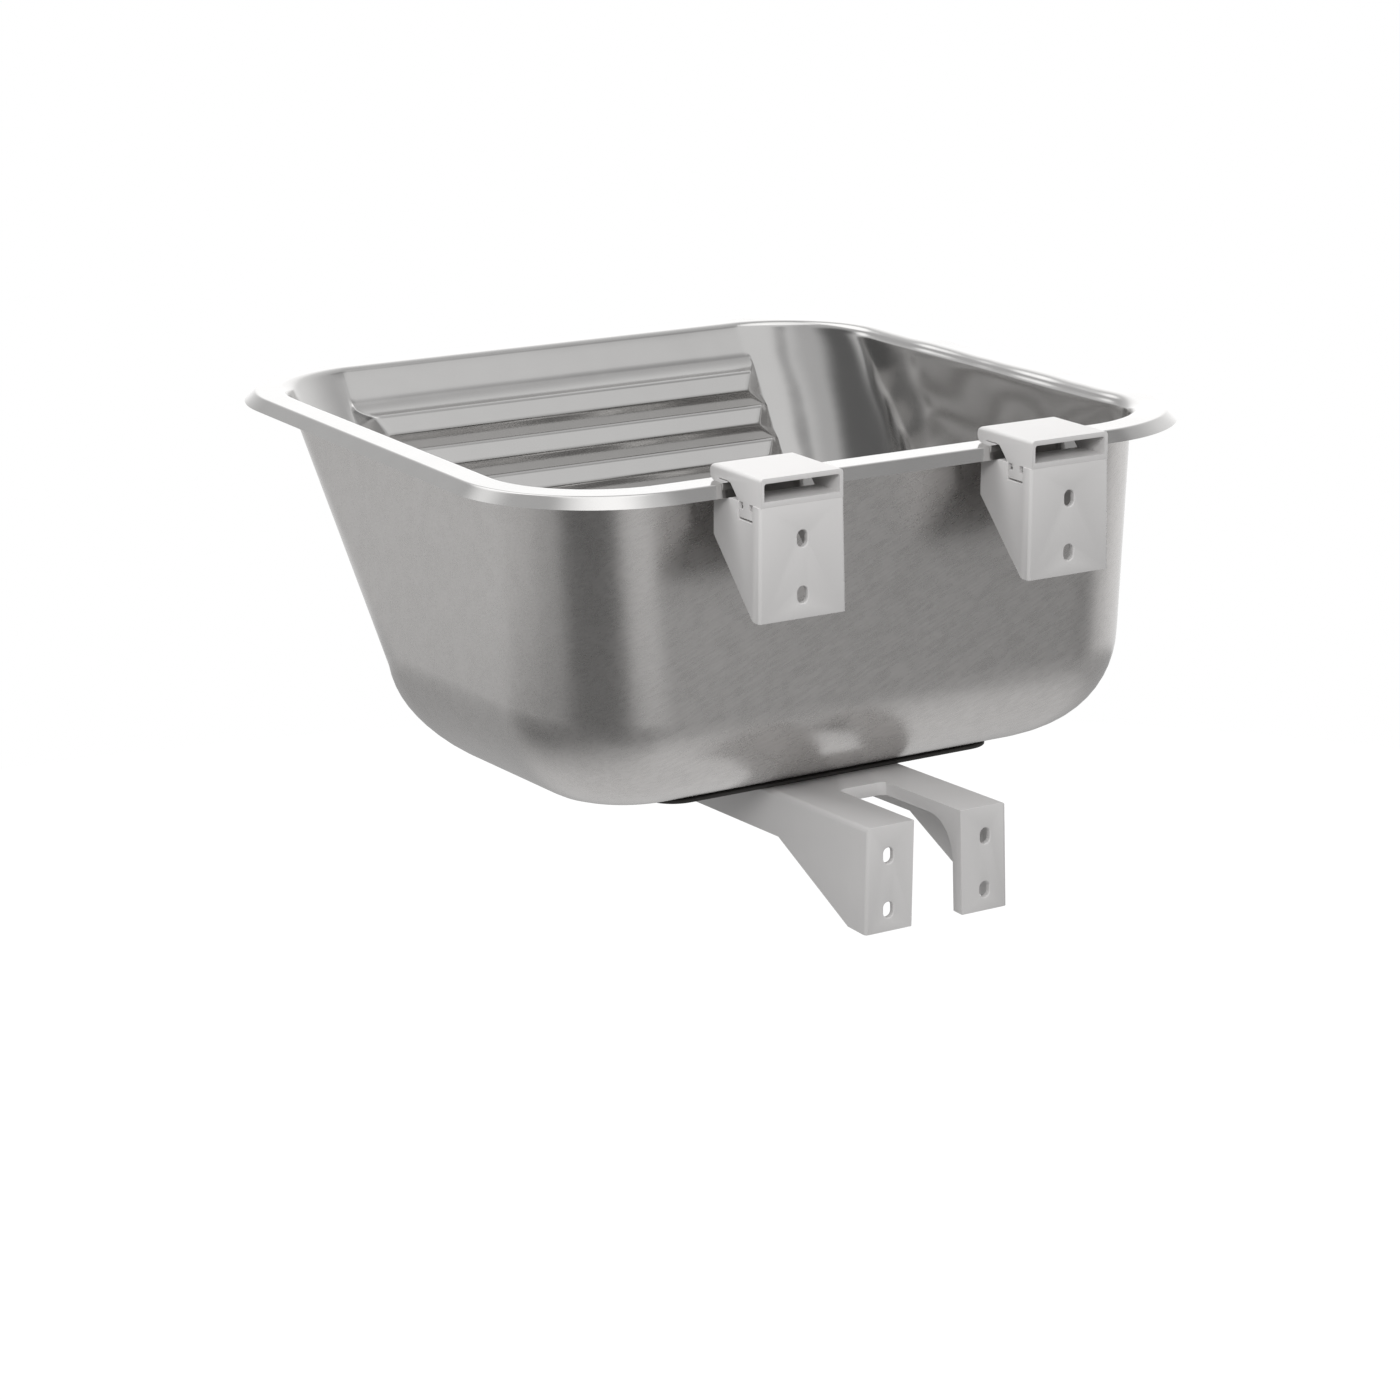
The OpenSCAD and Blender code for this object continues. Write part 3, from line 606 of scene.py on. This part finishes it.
        def front_point(x, rise):
            """A point of the front wall, on its washboard by a share of the rise."""
            beyond = max(0, abs(x) - (half - front_r))
            curve = front_r - math.sqrt(front_r ** 2 - beyond ** 2)
            part = 1 - (beyond / front_r) ** 2
            point = front
            if board:
                raised = Vector((board.distance + board.along * lift, board.height + board.upward * lift))
                flat = blend(Vector((board.distance, lift)), raised, rise)
                point = self.wall_point(self.front, flat.x, flat.y)
            return self.fallen(x, self.front_y + point.x + curve, blend(side.y, point.y, part),
                               blend(low_side, low_front, part))

        east, north, west, south, full = [i * QUARTER_TURN for i in range(5)]
        run = self.board.end_run
        if board:
            run = max(run, board.height) + board.taper
        back_x, back_y = half - back_r, y_back - back_r
        front_x, front_y = half - front_r, y_front + front_r
        right_back = corner((back_x, back_y), back_r, east, north, back, low_back)
        left_back = corner((-back_x, back_y), back_r, north, west, back, low_back)
        left_front = corner((-front_x, front_y), front_r, west, south - free, front, low_front)
        right_front = corner((front_x, front_y), front_r, south + free, full, front, low_front)
        left_end = [front_point(-(reach - run * x), soft_ramp(x)) for x in END_SHARES]
        right_end = [front_point(reach - run * x, soft_ramp(x)) for x in reversed(END_SHARES)]
        return (right_back + between(right_back[-1], left_back[0], STRAIGHT_SHARES)
                + left_back + between(left_back[-1], left_front[0], STRAIGHT_SHARES)
                + left_front + left_end + between(left_end[-1], right_end[0], FLAT_SHARES)
                + right_end + right_front + between(right_front[-1], right_back[0], STRAIGHT_SHARES))

    def end_reach(self, station, straight):
        """Half width at which a ring's front corners give way to the washboard's ends."""
        if station.part == FOOT:
            return straight
        if station.part == WALL and not station.board:
            last = self.wall_share(self.front, self.board_points[-1].distance)
            if station.share > last:
                return blend(self.board_half, straight, (station.share - last) / (1 - last))
        return self.board_half

    def bottom(self, y, lift):
        """Height of the bottom, lift above its outside face."""
        return lift - self.bowl.height + self.fall * (y - self.fall_from)

    def waste_rings(self, foot_ring, lift):
        """Rings from the foot's end to the waste hole's edge."""
        bowl = self.bowl
        middle_y = -bowl.waste_from_wall
        seat_z = self.bottom(middle_y, lift) - bowl.seat_drop
        seat = bowl.seat + (bowl.sheet - lift) / 2
        edge = seat + bowl.seat_drop
        profile = [Vector((edge + AROUND_SEAT, bowl.seat_drop)), Vector((edge, bowl.seat_drop)),
                   Vector((seat, 0)), Vector((bowl.hole, 0))]
        count = len(foot_ring)
        first = foot_ring[0]
        turn = math.atan2(first.y - middle_y, first.x)
        turns = [turn + 2 * math.pi * i / count for i in range(count)]

        def circle(radius, depth):
            """A circle round the waste hole, depth above the seat and bent to the bottom's fall."""
            made = []
            for t in turns:
                y = middle_y + radius * math.sin(t)
                z = blend(seat_z, self.bottom(y, lift), depth / bowl.seat_drop)
                made.append(Vector((radius * math.cos(t), y, z)))
            return made

        bends = (bowl.seat_bend, bowl.seat_bend)
        cup = [circle(p.x, p.y) for p, _ in rounded(profile, bends, SEAT_BEND_STEP)]
        sheet = [[p.lerp(q, x) for p, q in zip(foot_ring, cup[0])] for x in BOTTOM_SHARES]
        return sheet + cup

    def skin(self, lift):
        """All rings of one skin, from the lip's edge to the waste hole's edge."""
        rings = [self.ring(station, lift) for station in self.stations()]
        return rings + self.waste_rings(rings[-1], lift)


def body_of(node):
    """The body that a node belongs to."""
    for body, members in frame["record"]["behaviour"]["bodies"].items():
        if node in members:
            return body
    raise RuntimeError(f"no body holds {node}")


def new_piece(name, bm, materials, node):
    """Makes a piece from a bmesh, in place of a node and riding on its body."""
    mesh = bpy.data.meshes.new(name)
    bm.to_mesh(mesh)
    bm.free()
    for material in materials:
        mesh.materials.append(material)
    piece = bpy.data.objects.new(name, mesh)
    bpy.context.scene.collection.objects.link(piece)
    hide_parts(node)
    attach(piece, body_of(node))
    return piece


class Value:
    """A socket's value, on which sums are written as Python expressions."""

    def __init__(self, graph, socket):
        self.graph, self.socket = graph, socket

    def math(self, operation, *others):
        """A Math node on this value and others."""
        terms = dict(enumerate((self, *others)))
        return self.graph.node("ShaderNodeMath", {"operation": operation}, terms)["Value"]

    def __add__(self, other):
        return self.math("ADD", other)

    def __mul__(self, other):
        return self.math("MULTIPLY", other)

    def __sub__(self, other):
        return self.math("SUBTRACT", other)

    def __rsub__(self, other):
        return self * -1 + other

    __radd__ = __add__
    __rmul__ = __mul__

    def between(self, low, high):
        """This value's place from low to high, eased and held to 0 and 1."""
        return self.graph.node("ShaderNodeMapRange", {"interpolation_type": "SMOOTHSTEP"},
                               {"Value": self, "From Min": low, "From Max": high})["Result"]


class Outputs:
    """A node's outputs by name."""

    def __init__(self, graph, node):
        self.graph, self.node = graph, node

    def __getitem__(self, name):
        found = [s for s in self.node.outputs if s.enabled and s.name == name]
        return Value(self.graph, found[0])


class Graph:
    """A node tree that is built by one method."""

    def __init__(self, owner):
        owner.use_nodes = True
        self.tree = owner.node_tree
        self.tree.nodes.clear()

    def node(self, kind, settings=None, inputs=None):
        """Adds a node, sets its settings, then the values or links of its sockets."""
        node = self.tree.nodes.new(kind)
        for name, value in (settings or {}).items():
            setattr(node, name, value)
        for name, value in (inputs or {}).items():
            socket = node.inputs[name] if isinstance(name, int) else next(
                s for s in node.inputs if s.enabled and s.name == name)
            if isinstance(value, Value):
                self.tree.links.new(value.socket, socket)
            elif socket.type == "RGBA":
                socket.default_value = (*value, 1)
            else:
                socket.default_value = value
        return Outputs(self, node)

    def place(self):
        """Object coordinates."""
        return self.node("ShaderNodeTexCoord")["Object"]

    def noise(self, place, kind):
        """Noise of one kind on a place, from 0 to 1."""
        scale = tuple(1 / s for s in kind.stretch)
        mapped = self.node("ShaderNodeMapping", {"vector_type": "TEXTURE"},
                           {"Vector": place, "Rotation": kind.turn, "Scale": scale})["Vector"]
        inputs = {"Vector": mapped, "Scale": kind.scale, "Detail": kind.detail, "Roughness": kind.rough}
        return self.node("ShaderNodeTexNoise", {}, inputs)["Fac"]

    def dot(self, first, second):
        """The dot product of two vectors."""
        inputs = {0: first, 1: second}
        return self.node("ShaderNodeVectorMath", {"operation": "DOT_PRODUCT"}, inputs)["Value"]

    def rays(self):
        """Whether a ray shows the surface to the camera, and whether it is a mirrored one."""
        path = self.node("ShaderNodeLightPath")
        return path["Is Camera Ray"].math("MAXIMUM", path["Is Transmission Ray"]), path["Is Glossy Ray"]

    def on_card(self, way, card):
        """1 where a direction lies in a card's core, 0 beyond its edge."""
        along = self.dot(way, direction(math.radians(card.azimuth), math.radians(card.elevation)))
        return along.between(math.cos(math.radians(card.edge)), math.cos(math.radians(card.core)))

    def bump(self, height, distance, under=None):
        """A Bump node, over another normal."""
        inputs = {"Height": height, "Distance": distance}
        if under:
            inputs["Normal"] = under
        return self.node("ShaderNodeBump", {}, inputs)["Normal"]

    def mix(self, part, first, second):
        """A mix of two colours."""
        return self.node("ShaderNodeMix", {"data_type": "RGBA"},
                         {"Factor": part, "A": first, "B": second})["Result"]

    def surface(self, inputs):
        """The surface's shader, on the material's output."""
        shader = self.node("ShaderNodeBsdfPrincipled", {}, inputs)["BSDF"]
        self.node("ShaderNodeOutputMaterial", {}, {"Surface": shader})


def shaded(tone, factor):
    """A colour made lighter or darker."""
    return tuple(min(1, c * factor) for c in tone)


def satin_steel(finish):
    """Satin steel: a fine even grain, clouds, a soft mottle and faint slanting scratches."""
    material = bpy.data.materials.new("satin_steel")
    g = Graph(material)
    place = g.place()
    grain = g.noise(place, SATIN_GRAIN)
    cloud = g.noise(place, SATIN_CLOUD)
    mottle = g.noise(place, SATIN_MOTTLE)
    rubbed = g.noise(place, SATIN_RUB)
    scratches = g.noise(place, SATIN_SCRATCH).between(*SCRATCH_RANGE)
    part = (cloud * CLOUD_SHARE + mottle.between(*MOTTLE_RANGE) * MOTTLE_SHARE
            + rubbed.between(*RUB_RANGE) * RUB_SHARE)
    tone = g.mix(part, shaded(finish.steel, SATIN_DARK), shaded(finish.steel, SATIN_LIGHT))
    rough = (finish.outside_rough - SATIN_SMOOTHER + grain * GRAIN_ROUGH + mottle * MOTTLE_ROUGH
             + rubbed * RUB_ROUGH + scratches * SCRATCH_ROUGH)
    waves = g.bump(cloud, SATIN_WAVE_RELIEF)
    normal = g.bump(grain + rubbed + scratches * -SCRATCH_DEPTH, SATIN_RELIEF, waves)
    g.surface({"Base Color": tone, "Metallic": 1.0, "Roughness": rough, "Normal": normal})
    return material


def polished_steel(finish):
    """Polished steel, with the slight waves of a deep pressing and fine polishing marks."""
    material = bpy.data.materials.new("polished_steel")
    g = Graph(material)
    place = g.place()
    leftward = g.node("ShaderNodeSeparateXYZ", {}, {0: place})["X"] * -1
    dents = g.noise(place, POLISHED_DENTS) * leftward.between(DENTS_FROM, DENTS_FULL)
    waves = g.noise(place, POLISHED_WAVES) + dents * DENT_DEPTH
    ripple = g.noise(place, POLISHED_RIPPLE)
    marks = g.noise(place, POLISHED_MARKS)
    tone = g.mix(ripple, shaded(finish.polished, POLISHED_DARK), shaded(finish.polished, POLISHED_LIGHT))
    rough = finish.inside_rough - POLISHED_SMOOTHER + marks * MARKS_ROUGH + ripple * RIPPLE_ROUGH
    normal = g.bump(ripple, RIPPLE_RELIEF, g.bump(waves, POLISHED_WAVE_RELIEF))
    g.surface({"Base Color": tone, "Metallic": 1.0, "Roughness": rough, "Normal": normal})
    return material


def moulded_plastic(finish):
    """Satin moulded plastic with a fine spark-eroded texture and faint flow clouds."""
    material = bpy.data.materials.new("moulded_plastic")
    g = Graph(material)
    place = g.place()
    texture = g.noise(place, MOULD_TEXTURE)
    flow = g.noise(place, MELT_FLOW)
    tone = g.mix(flow, shaded(finish.plastic, PLASTIC_DARK), shaded(finish.plastic, PLASTIC_LIGHT))
    rough = finish.plastic_rough - PLASTIC_SMOOTHER + texture * TEXTURE_ROUGH + flow * FLOW_ROUGH
    normal = g.bump(texture, TEXTURE_RELIEF, g.bump(flow, FLOW_RELIEF))
    g.surface({"Base Color": tone, "Roughness": rough, "Normal": normal})
    return material


def bitumen(finish):
    """Black sound-deadening bitumen with a leathery surface."""
    material = bpy.data.materials.new("bitumen")
    g = Graph(material)
    place = g.place()
    grain = g.noise(place, PAD_GRAIN)
    patch = g.noise(place, PAD_PATCH)
    tone = g.mix(patch, shaded(finish.pad, PAD_DARK), shaded(finish.pad, PAD_LIGHT))
    rough = finish.pad_rough - PAD_SMOOTHER + grain * PAD_GRAIN_ROUGH
    g.surface({"Base Color": tone, "Roughness": rough, "Normal": g.bump(grain, PAD_RELIEF)})
    return material


class TROUGH_OT_bowl(bpy.types.Operator):
    """Presses the bowl: one sheet from the lip down to the waste hole and back up the inside"""

    bl_idname = "trough.bowl"
    bl_label = "Bowl"

    def execute(self, context):
        scene = context.scene
        pressing = Pressing(scene.trough_rim, scene.trough_bowl, scene.trough_board)
        outside = pressing.skin(0)
        inside = pressing.skin(scene.trough_bowl.sheet)
        bm = bmesh.new()
        first = bmesh.ops.create_circle(bm, segments=len(outside[0]), radius=1)["verts"]
        place_verts(first, outside[0])
        last = first
        for ring in outside[1:]:
            last = self.drawn(bm, last, ring, OUTSIDE)
        for ring in reversed(inside):
            last = self.drawn(bm, last, ring, INSIDE)
        hem = bmesh.ops.bridge_loops(bm, edges=edge_loop(bm, first) + edge_loop(bm, last))
        for face in hem["faces"]:
            face.material_index = INSIDE
        bmesh.ops.recalc_face_normals(bm, faces=bm.faces)
        if any(not edge.is_manifold for edge in bm.edges):
            raise RuntimeError("the pressing has an open seam")
        for face in bm.faces:
            face.smooth = True
        for edge in bm.edges:
            edge.smooth = edge.calc_face_angle(0) < SHARP_EDGE
        finish = scene.trough_finish
        new_piece("steel_bowl", bm, [satin_steel(finish), polished_steel(finish)], "bowl")
        return {"FINISHED"}

    def drawn(self, bm, verts, ring, skin):
        """Draws the sheet on from a loop of vertices to a ring, and gives the new loop."""
        grown = bmesh.ops.extrude_edge_only(bm, edges=edge_loop(bm, verts))["geom"]
        old = set(verts)
        after = {}
        for item in grown:
            if isinstance(item, bmesh.types.BMFace):
                item.material_index = skin
            if isinstance(item, bmesh.types.BMVert):
                for edge in item.link_edges:
                    if edge.other_vert(item) in old:
                        after[edge.other_vert(item)] = item
        new = [after[vert] for vert in verts]
        place_verts(new, ring)
        return new


def edge_broken(name, node, material, edge, sizes):
    """Makes a piece from a node's shape, with its small edges broken."""
    bm = bmesh.new()
    bm.from_mesh(frame["nodes"][node].data)
    bmesh.ops.remove_doubles(bm, verts=bm.verts, dist=SAME_POINT)
    bmesh.ops.dissolve_limit(bm, angle_limit=FLAT_FOLD, verts=bm.verts, edges=bm.edges)
    for face in bm.faces:
        face.smooth = True
        face.material_index = 0
    piece = new_piece(name, bm, [material], node)
    bevel = piece.modifiers.new("broken_edges", "BEVEL")
    bevel.width = edge
    bevel.segments = sizes.steps
    bevel.limit_method = "ANGLE"
    bevel.angle_limit = sizes.fold
    bevel.harden_normals = True
    bevel.use_clamp_overlap = True


class TROUGH_OT_sound_pad(bpy.types.Operator):
    """Lays the bitumen pad under the bowl"""

    bl_idname = "trough.sound_pad"
    bl_label = "Sound pad"

    def execute(self, context):
        sizes = context.scene.trough_moulding
        material = bitumen(context.scene.trough_finish)
        edge_broken("bitumen_pad", "sound_pad", material, sizes.pad_edge, sizes)
        return {"FINISHED"}


class TROUGH_OT_mouldings(bpy.types.Operator):
    """Finishes the consoles, the rim clips and the support as satin mouldings"""

    bl_idname = "trough.mouldings"
    bl_label = "Mouldings"

    def execute(self, context):
        sizes = context.scene.trough_moulding
        material = moulded_plastic(context.scene.trough_finish)
        for name, node in MOULDINGS.items():
            edge_broken(name, node, material, sizes.edge, sizes)
        return {"FINISHED"}


def hang_lamp(lamp, energy):
    """Hangs a soft lamp that lights the trough and that steel does not mirror."""
    light = bpy.data.lights.new(lamp.name, "AREA")
    light.shape = "RECTANGLE"
    light.size, light.size_y = lamp.size
    light.energy = energy
    hung = bpy.data.objects.new(lamp.name, light)
    hung.location = lamp.place
    hung.rotation_euler = (Vector(LIT_POINT) - Vector(lamp.place)).to_track_quat("-Z", "Y").to_euler()
    hung.visible_camera = False
    hung.visible_glossy = False
    bpy.context.scene.collection.objects.link(hung)


class TROUGH_OT_stage(bpy.types.Operator):
    """Sets the floor, the white studio, the lamps and the camera"""

    bl_idname = "trough.stage"
    bl_label = "Stage"

    def execute(self, context):
        scene = context.scene
        stage = scene.trough_stage
        scene.view_settings.view_transform = "Standard"
        self.camera(scene, stage)
        self.world(scene, stage)
        self.floor(scene, stage)
        for lamp in LAMPS:
            hang_lamp(lamp, getattr(stage, lamp.power))
        return {"FINISHED"}

    def camera(self, scene, stage):
        """The camera at the photograph's place."""
        back = direction(stage.azimuth, stage.elevation)
        level = Vector((0, 0, 1)).cross(back).normalized()
        upright = back.cross(level)
        sine, cosine = math.sin(stage.roll), math.cos(stage.roll)
        right = cosine * level + sine * upright
        up = cosine * upright - sine * level
        data = bpy.data.cameras.new("camera")
        data.sensor_width = SENSOR_WIDTH
        data.lens = stage.lens / PHOTO_WIDTH * SENSOR_WIDTH
        data.clip_end = CLIP_END
        camera = bpy.data.objects.new("camera", data)
        turn = Matrix((right, up, back)).transposed().to_4x4()
        camera.matrix_world = Matrix.Translation(stage.eye) @ turn
        scene.collection.objects.link(camera)
        scene.camera = camera

    def world(self, scene, stage):
        """White to the camera, and a softer studio to gloss and to matt surfaces."""
        world = bpy.data.worlds.new("studio")
        scene.world = world
        g = Graph(world)
        seen, gloss = g.rays()
        way = g.node("ShaderNodeTexCoord")["Generated"]
        studio = stage.surroundings
        for card in CARDS:
            studio = g.on_card(way, card) * card.change + studio
        height = g.node("ShaderNodeSeparateXYZ", {}, {0: way})["Z"].between(SKY_FROM, SKY_FULL)
        soft = stage.ambient * (LOW_SKY_SHARE + (1 - LOW_SKY_SHARE) * height)
        strength = seen + (1 - seen) * (gloss * studio + (1 - gloss) * soft)
        background = g.node("ShaderNodeBackground", {}, {"Color": WHITE, "Strength": strength})
        g.node("ShaderNodeOutputWorld", {}, {"Surface": background["Background"]})

    def floor(self, scene, stage):
        """A round pale floor far below the trough."""
        bm = bmesh.new()
        bmesh.ops.create_circle(bm, cap_ends=True, segments=FLOOR_SEGMENTS, radius=stage.floor_radius)
        bmesh.ops.translate(bm, verts=bm.verts, vec=(0, FLOOR_MIDDLE_Y, -stage.floor_drop))
        mesh = bpy.data.meshes.new("floor")
        bm.to_mesh(mesh)
        bm.free()
        mesh.materials.append(self.pale_floor(stage))
        floor = bpy.data.objects.new("floor", mesh)
        scene.collection.objects.link(floor)

    def pale_floor(self, stage):
        """White to the camera; to steel that mirrors it, a glow with painted shade, dimmer far away and on
        one side.
        """
        material = bpy.data.materials.new("pale_floor")
        g = Graph(material)
        seen, gloss = g.rays()
        place = g.place()
        away = g.node("ShaderNodeVectorMath", {"operation": "LENGTH"}, {0: place})["Value"]
        aside = g.dot(place, direction(DARK_SIDE, 0))
        # Painted shade: the floor's glow in steel dims far from the middle and towards one side
        painted_floor_shade = (FAR_DIMMING * (away - stage.floor_drop).between(*FAR_RANGE)
                   + SIDE_DIMMING * aside.between(*SIDE_RANGE))
        strength = seen * SEEN_FLOOR + gloss * (MIRRORED_FLOOR - painted_floor_shade)
        matt = g.node("ShaderNodeBsdfDiffuse", {}, {"Color": FLOOR_TONE})["BSDF"]
        glow = g.node("ShaderNodeEmission", {}, {"Color": WHITE, "Strength": strength})["Emission"]
        part = (seen + gloss) * GLOW_SHARE
        both = g.node("ShaderNodeMixShader", {}, {0: part, 1: matt, 2: glow})["Shader"]
        g.node("ShaderNodeOutputMaterial", {}, {"Surface": both})
        return material


class VIEW3D_PT_trough(bpy.types.Panel):
    """Lists the sizes, the finishes and the steps"""

    bl_idname = "VIEW3D_PT_trough"
    bl_label = "Trough"
    bl_space_type = "VIEW_3D"
    bl_region_type = "UI"
    bl_category = "Trough"

    def draw(self, context):
        layout = self.layout
        for name in GROUPS:
            settings = getattr(context.scene, name)
            box = layout.box()
            for key in settings.__annotations__:
                box.prop(settings, key)
        for operator in STEPS:
            layout.operator(operator.bl_idname)


GROUPS = {
    "trough_rim": RimSizes,
    "trough_bowl": BowlSizes,
    "trough_board": BoardSizes,
    "trough_moulding": MouldingSizes,
    "trough_finish": Finishes,
    "trough_stage": StageSizes,
}
STEPS = (TROUGH_OT_bowl, TROUGH_OT_sound_pad, TROUGH_OT_mouldings, TROUGH_OT_stage)


def register():
    """Registers the classes, and puts their settings on the scene."""
    for cls in (*GROUPS.values(), *STEPS, VIEW3D_PT_trough):
        bpy.utils.register_class(cls)
    for name, cls in GROUPS.items():
        setattr(bpy.types.Scene, name, PointerProperty(type=cls))


def unregister():
    """Takes the settings and the classes away again."""
    for name in GROUPS:
        delattr(bpy.types.Scene, name)
    for cls in reversed((*GROUPS.values(), *STEPS, VIEW3D_PT_trough)):
        bpy.utils.unregister_class(cls)


def main():
    """Makes every piece and the stage."""
    register()
    bpy.ops.trough.bowl()
    bpy.ops.trough.sound_pad()
    bpy.ops.trough.mouldings()
    bpy.ops.trough.stage()


if __name__ == "__main__":
    main()
